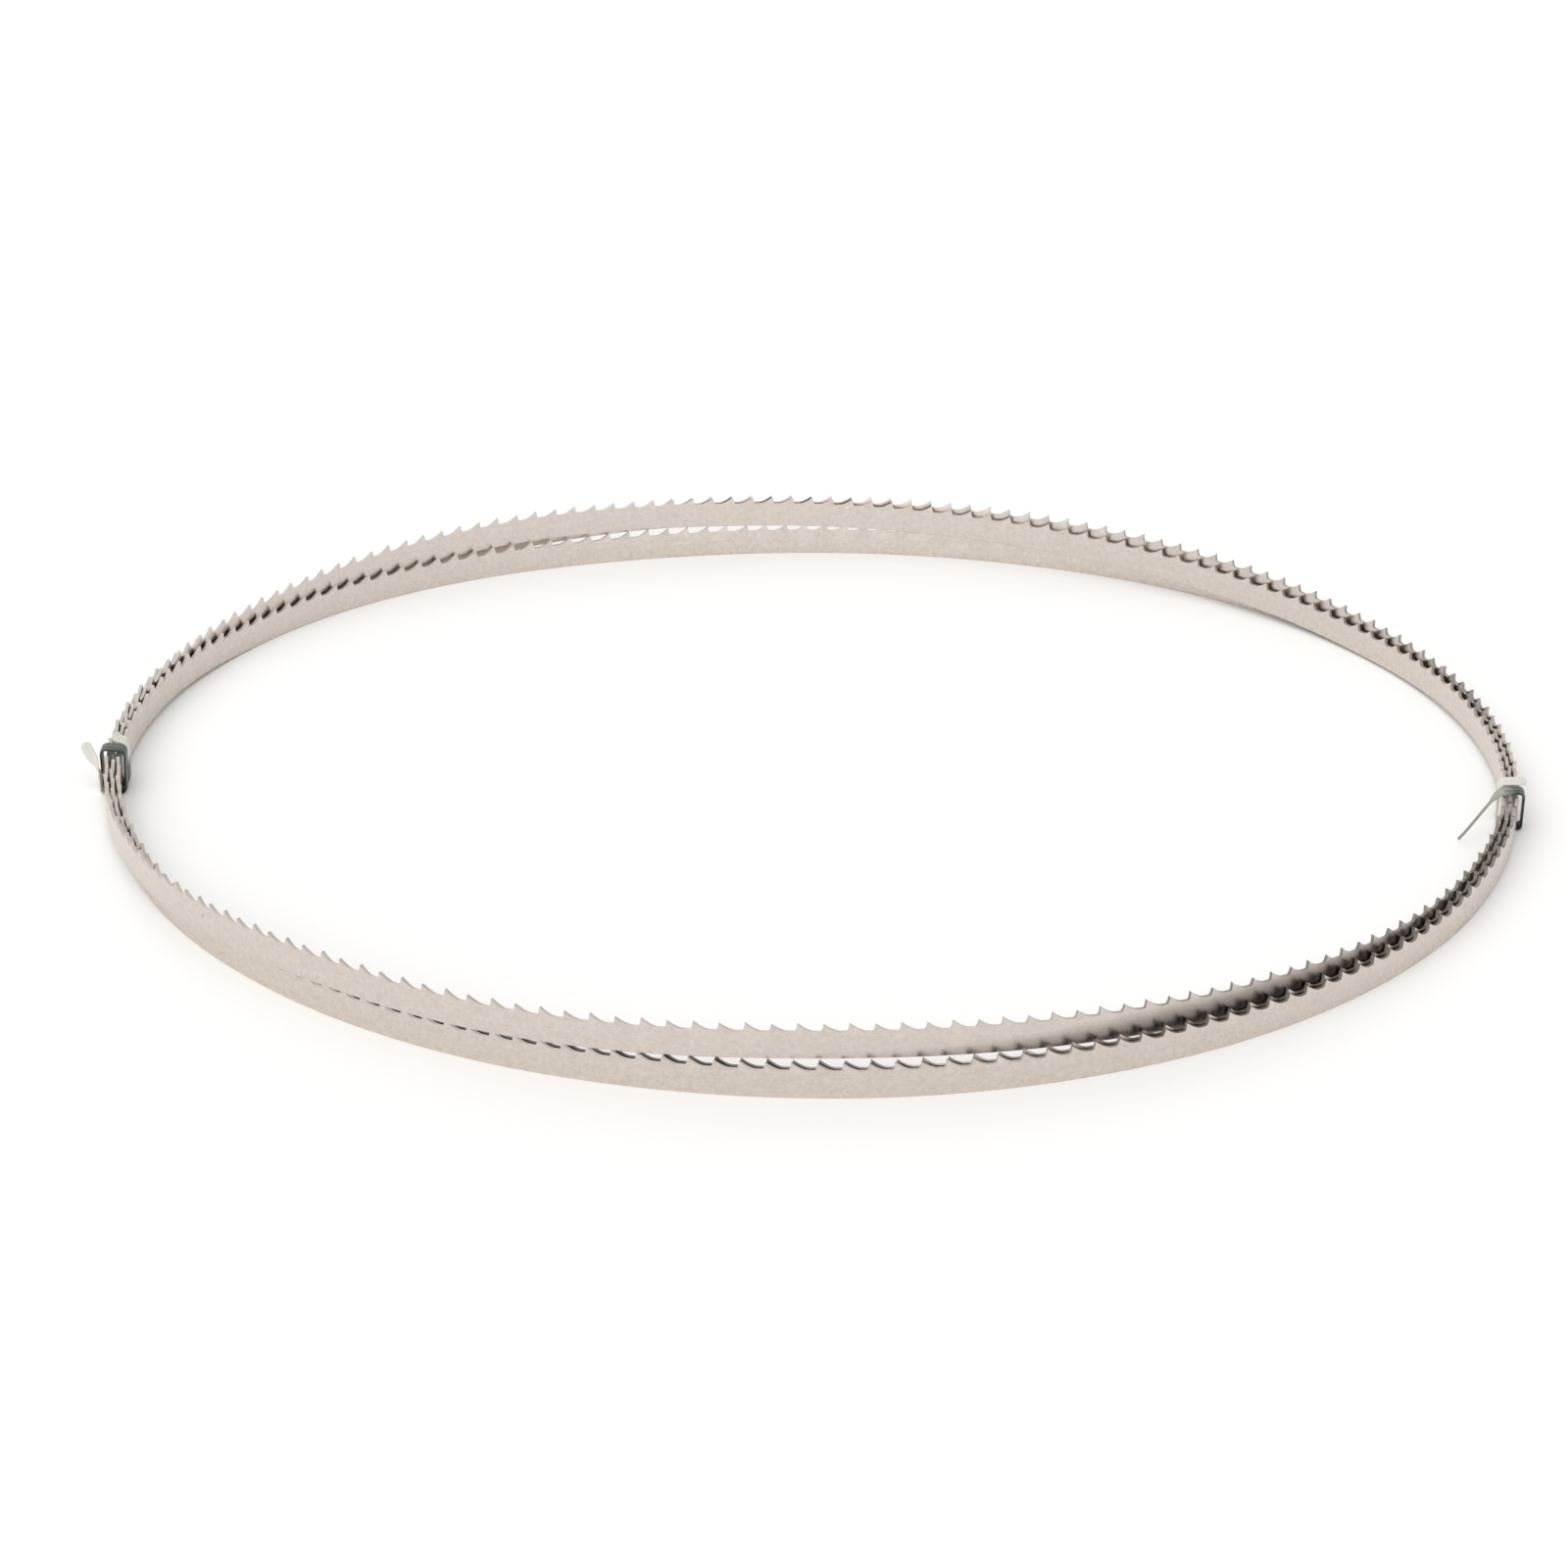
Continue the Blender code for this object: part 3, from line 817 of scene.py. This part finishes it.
def tie_line(tie):
    """Centre points, flat directions and width shares from one end of a tie to the other."""
    first, turns, step = tie.winding
    stretches = loop_outline()
    angle = math.radians(tie.place)
    outward = Vector((math.cos(angle), math.sin(angle), 0.0))
    backward = Vector((-math.sin(angle), math.cos(angle), 0.0)) * tie.side
    middle = outward * float(loop_radius * loop_shape(angle)) + centring
    middle_z = TIE_RISE + 0.5 * BLADE_WIDTH

    def turned(local):
        return outward * local[0] + backward * local[1] + Vector((0.0, 0.0, local[2]))

    line = []
    for k in range(int(round(turns * TIE_STEPS)) + 1):
        point, out = loop_point(stretches, first + k / TIE_STEPS)
        y = step * (0.5 * turns - k / TIE_STEPS)
        centre = middle + turned((point.x, y, middle_z + point.y))
        line.append((centre, turned((out.x, 0.0, out.y)), 1.0))
    for tail, order in ((tie.start_tail, -1), (tie.end_tail, 1)):
        line = line[::order]
        away = (line[-1][0] - line[-2][0]).normalized()
        steps = tail.steps * TAIL_FINENESS
        points = smooth_tail(line[-1][0], away * tail.leaving, middle + turned(tail.end),
                             turned(tail.arriving).normalized(), steps)
        leaving_flat = line[-1][1]
        half_end = 0.5 * TIE_WIDTH * tail.width_share
        for k, point in enumerate(points, 1):
            t = float(ease(k / steps))
            flat = leaving_flat * (1.0 - t) + turned(tail.flat).normalized() * t
            narrow = 1.0 + (tail.width_share - 1.0) * float(ease(k / (NARROWING * steps)))
            beyond = min(1.0, max(0.0, 1.0 - (points[-1] - point).length / half_end))
            line.append((point, flat, narrow * math.sqrt(1.0 - BLUNT * beyond * beyond)))
        line = line[::order]
    return line


print("places along the ties:", [len(tie_line(tie)) for tie in TIES])

# %% [markdown]
# ## The strip of a tie
#
# The section has thin wings with round edges and a raised middle where the wire
# runs. A cosine gives the raised part a soft foot, which catches the light as a
# pale line along the real strip.

# %% Section and sweep of a tie
WIRE_FOOT = 1.5
STRAP_SHARP_DEGREES = 50.0
SECTION_STATIONS = (1.0, 0.975, 0.90, 0.62, 0.36, 0.24, 0.16, 0.08, 0.0)


def strap_section():
    """The strip's outline, as points (across, out), once round."""
    half, core, edge = 0.5 * TIE_WIDTH, 0.5 * TIE_CORE, 0.5 * TIE_EDGE
    upper = []
    for share in SECTION_STATIONS:
        x = share * half
        rim = max(0.0, (x - (half - edge)) / edge)
        wire = math.cos(0.5 * math.pi * min(1.0, x / (WIRE_FOOT * core))) ** 2
        wing = edge * math.sqrt(max(0.0, 1.0 - rim * rim))
        upper.append((x, wing + (core - edge) * wire))
    upper = [(-x, z) for x, z in upper] + upper[-2::-1]
    return upper + [(x, -z) for x, z in upper[-2:0:-1]]


def build_tie(tie):
    """The strip of a tie as one object, and its length."""
    line = tie_line(tie)
    section = strap_section()
    points = []
    for k, (centre, flat, width_share) in enumerate(line):
        way = (line[min(k + 1, len(line) - 1)][0] - line[max(k - 1, 0)][0]).normalized()
        flat = (flat - way * flat.dot(way)).normalized()
        across = way.cross(flat)
        points += [centre + across * (x * width_share) + flat * z for x, z in section]
    corners = len(section)
    sides = ring_faces(len(line), corners, False)
    faces = sides[:, ::-1].tolist()
    faces.append(list(range(corners)))
    faces.append(list(range(len(points) - 1, len(points) - corners - 1, -1)))
    made = new_object(tie.node + "_strip", points, faces, STRAP_SHARP_DEGREES)
    steps = [(b[0] - a[0]).length for a, b in zip(line, line[1:])]
    along = np.concatenate(((0.0,), np.cumsum(steps)))
    across = np.array([x for x, _ in section])
    corner_ids = np.concatenate([np.array(face) for face in faces])
    map_surface(made.data, along[corner_ids // corners], across[corner_ids % corners])
    return made, along[-1]


tie_pieces = {tie.node: build_tie(tie) for tie in TIES}
print("ties, mm long:", [round(1000 * length, 1) for _, length in tie_pieces.values()])

# %% [markdown]
# ## The plastic of the ties
#
# The strips are dark green, glossy plastic, and their ends are painted pale.
# The map along the strip says where the ends are, and a noise breaks up the
# change so that it doesn't stop at a ruled line. Painting the ends as separate
# faces would leave just such a line. A paler line also runs along the middle,
# where the map's other direction is near 0: it is partly the plastic thin over
# the wire and partly a painted highlight along it.

# %% Finish of the ties
PLASTIC_SHINE, PLASTIC_COAT, COAT_ROUGHNESS = 0.20, 0.05, 0.10
PLASTIC_ROUGHNESS = (0.20, 0.36)
CLOUDS_PER_METRE = 700.0
GREEN_DEEP = (0.010, 0.026, 0.014, 1.0)
GREEN_WORN = (0.030, 0.055, 0.032, 1.0)
# the pale line over the wire: thin plastic there, and a painted highlight
WIRE_LINE_AND_HIGHLIGHT = (0.26, 0.29, 0.23, 1.0)
WIRE_SHARE = 0.55
# pale colour painted on the tie ends
PALE_END_COLOUR = (0.66, 0.64, 0.58, 1.0)
FADE = 0.0016

# pale length at the start, pale length at the end, how pale the end is
PALE_ENDS = {"tie_left": (0.0052, 0.0120, 1.0), "tie_right": (0.0125, 0.0128, 0.42)}


def build_green_plastic(name, whole, start_length, end_length, end_share):
    """whole is the strip's length in metres, the others as in PALE_ENDS."""
    made = bpy.data.materials.new(name)
    made.use_nodes = True
    tree = made.node_tree
    shader = tree.nodes["Principled BSDF"]
    shader.inputs["Specular IOR Level"].default_value = PLASTIC_SHINE
    shader.inputs["Coat Weight"].default_value = PLASTIC_COAT
    shader.inputs["Coat Roughness"].default_value = COAT_ROUGHNESS
    strip = place(tree, "ShaderNodeUVMap", uv_map="strip")
    split = place(tree, "ShaderNodeSeparateXYZ")
    tree.links.new(strip.outputs[0], split.inputs[0])
    cloud = place(tree, "ShaderNodeTexNoise", {"Scale": CLOUDS_PER_METRE, "Detail": 3.0})
    tree.links.new(strip.outputs[0], cloud.inputs["Vector"])
    tone = cloud.outputs["Fac"]
    wander = maths(tree, "MULTIPLY", maths(tree, "SUBTRACT", tone, 0.5), 2.0 * FADE)
    along = maths(tree, "ADD", split.outputs["X"], wander)
    start_pale = remap(tree, along, (start_length, start_length + FADE), (1.0, 0.0))
    pale_from = whole - end_length
    end_pale = remap(tree, along, (pale_from - FADE, pale_from), (0.0, end_share))
    pale_share = maths(tree, "MAXIMUM", start_pale, end_pale)
    off_middle = maths(tree, "ABSOLUTE", split.outputs["Y"])
    wire = remap(tree, off_middle, (0.5 * TIE_EDGE, TIE_CORE), (WIRE_SHARE, 0.0), smooth=True)
    green = mix_colours(tree, tone, GREEN_DEEP, GREEN_WORN)
    lined = mix_colours(tree, maths(tree, "MULTIPLY", wire, tone), green, WIRE_LINE_AND_HIGHLIGHT)
    colour = mix_colours(tree, pale_share, lined, PALE_END_COLOUR)
    tree.links.new(colour, shader.inputs["Base Color"])
    gloss = remap(tree, tone, (0.0, 1.0), PLASTIC_ROUGHNESS)
    tree.links.new(gloss, shader.inputs["Roughness"])
    return made


for node, (piece, whole) in tie_pieces.items():
    plastic = build_green_plastic(node + " plastic", whole, *PALE_ENDS[node])
    piece.data.materials.append(plastic)
    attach(piece, "root")
    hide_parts(node)
print("plastic:", [piece.data.materials[0].name for piece, _ in tie_pieces.values()])

# %% [markdown]
# ## Floor
#
# The blade stands on a plain white sheet. The floor is wide enough to fill the
# picture, and its colour alone makes the background white: no extra light is
# poured on it, so the faint shadow under the band stays.

# %% Floor
FLOOR_HALF = 3.0
PAPER = (0.985, 0.980, 0.972, 1.0)
PAPER_ROUGHNESS = 0.9

floor_corners = [(x * FLOOR_HALF, y * FLOOR_HALF, 0.0)
                 for x, y in ((-1, -1), (1, -1), (1, 1), (-1, 1))]
floor_mesh = bpy.data.meshes.new("floor")
floor_mesh.from_pydata(floor_corners, [], [(0, 1, 2, 3)])
floor = bpy.data.objects.new("floor", floor_mesh)
bpy.context.scene.collection.objects.link(floor)
paper = bpy.data.materials.new("white paper")
paper.use_nodes = True
sheet = paper.node_tree.nodes["Principled BSDF"]
sheet.inputs["Base Color"].default_value = PAPER
sheet.inputs["Roughness"].default_value = PAPER_ROUGHNESS
sheet.inputs["Specular IOR Level"].default_value = 0.0
floor.data.materials.append(paper)
print("floor, m across:", 2 * FLOOR_HALF)

# %% [markdown]
# ## Light
#
# The photograph has hardly a shadow, so the light comes from two sides. One wide
# lamp stands in front and one behind, both a little to the left, which leaves
# the faint shadow on the right. Neither shows in the faces of the band: what
# they show is the white floor in front of them.
#
# Steel shows its surroundings, so the room counts as much as the lamps. It is
# bright in front and behind, and dim to the sides and overhead, which keeps the
# narrow gaps between the strips dark. The world reads the direction that a ray
# leaves in, which takes fewer parts than a ring of lamps and cards round the coil.
# Rays from the camera straight to the world see plain white.

# %% World and lamps
FRONT_LEVEL, SIDE_LEVEL, OVERHEAD_LEVEL = 1.50, 0.40, 0.45
OVERHEAD_RANGE = (0.35, 0.95)
ROOM_COLOUR = (1.0, 0.995, 0.985, 1.0)
LAMP_ANGLE = math.radians(70.0)

# the way to the lamp, and its strength
LAMPS = {"front lamp": ((-0.30, -0.75, 0.80), 1.40), "back lamp": ((-0.40, 0.62, 0.85), 0.62)}


def build_world():
    made = bpy.data.worlds.new("white room")
    made.use_nodes = True
    tree = made.node_tree
    tree.nodes["Background"].inputs["Color"].default_value = ROOM_COLOUR
    way = place(tree, "ShaderNodeTexCoord")
    split = place(tree, "ShaderNodeSeparateXYZ")
    tree.links.new(way.outputs["Generated"], split.inputs[0])
    to_front = maths(tree, "MULTIPLY", split.outputs["Y"], split.outputs["Y"])
    front = remap(tree, to_front, (0.0, 1.0), (SIDE_LEVEL, FRONT_LEVEL))
    overhead = remap(tree, split.outputs["Z"], OVERHEAD_RANGE, smooth=True)
    room = place(tree, "ShaderNodeMix", {"B": OVERHEAD_LEVEL})
    tree.links.new(overhead, room.inputs["Factor"])
    tree.links.new(front, room.inputs["A"])
    rays = place(tree, "ShaderNodeLightPath")
    straight = maths(tree, "MAXIMUM", rays.outputs["Is Camera Ray"],
                     rays.outputs["Is Transmission Ray"])
    seen = place(tree, "ShaderNodeMix", {"B": 1.0})
    tree.links.new(straight, seen.inputs["Factor"])
    tree.links.new(room.outputs[0], seen.inputs["A"])
    tree.links.new(seen.outputs[0], tree.nodes["Background"].inputs["Strength"])
    return made


bpy.context.scene.world = build_world()
for name, (way, strength) in LAMPS.items():
    lamp_data = bpy.data.lights.new(name, "SUN")
    lamp_data.angle = LAMP_ANGLE
    lamp_data.energy = strength
    lamp = bpy.data.objects.new(name, lamp_data)
    bpy.context.scene.collection.objects.link(lamp)
    lamp.rotation_euler = (-Vector(way)).to_track_quat("-Z", "Y").to_euler()
print("lamps:", list(LAMPS))

# %% [markdown]
# ## Camera
#
# The camera looks down on the coil from the front at about 25 degrees, from
# 0.8 m, with a long lens. These numbers come from matching the blade's own known
# sizes, its length, width and pitch, to where they lie in the photograph.

# %% Camera
PICTURE = 1600
CAMERA_DOWN = math.radians(24.678)
CAMERA_AWAY = 0.8025
CAMERA_ROLL = math.radians(0.653)
FOCAL_PIXELS = 4342.3
CENTRE_X, CENTRE_Y = 825.25, 800.31
SENSOR = 36.0

look = Vector((0.0, math.cos(CAMERA_DOWN), -math.sin(CAMERA_DOWN)))
right = Vector((1.0, 0.0, 0.0))
level_axes = Matrix((right, right.cross(look), -look)).transposed()
axes = level_axes @ Matrix.Rotation(CAMERA_ROLL, 3, "Z")
camera_data = bpy.data.cameras.new("camera")
camera_data.sensor_width = SENSOR
camera_data.lens = FOCAL_PIXELS / PICTURE * SENSOR
camera_data.shift_x = (PICTURE / 2 - CENTRE_X) / PICTURE
camera_data.shift_y = (CENTRE_Y - PICTURE / 2) / PICTURE
camera = bpy.data.objects.new("camera", camera_data)
bpy.context.scene.collection.objects.link(camera)
camera.matrix_world = Matrix.Translation(centring - look * CAMERA_AWAY) @ axes.to_4x4()
bpy.context.scene.camera = camera
bpy.context.scene.view_settings.view_transform = "Standard"
print("lens, mm:", round(camera_data.lens, 1))
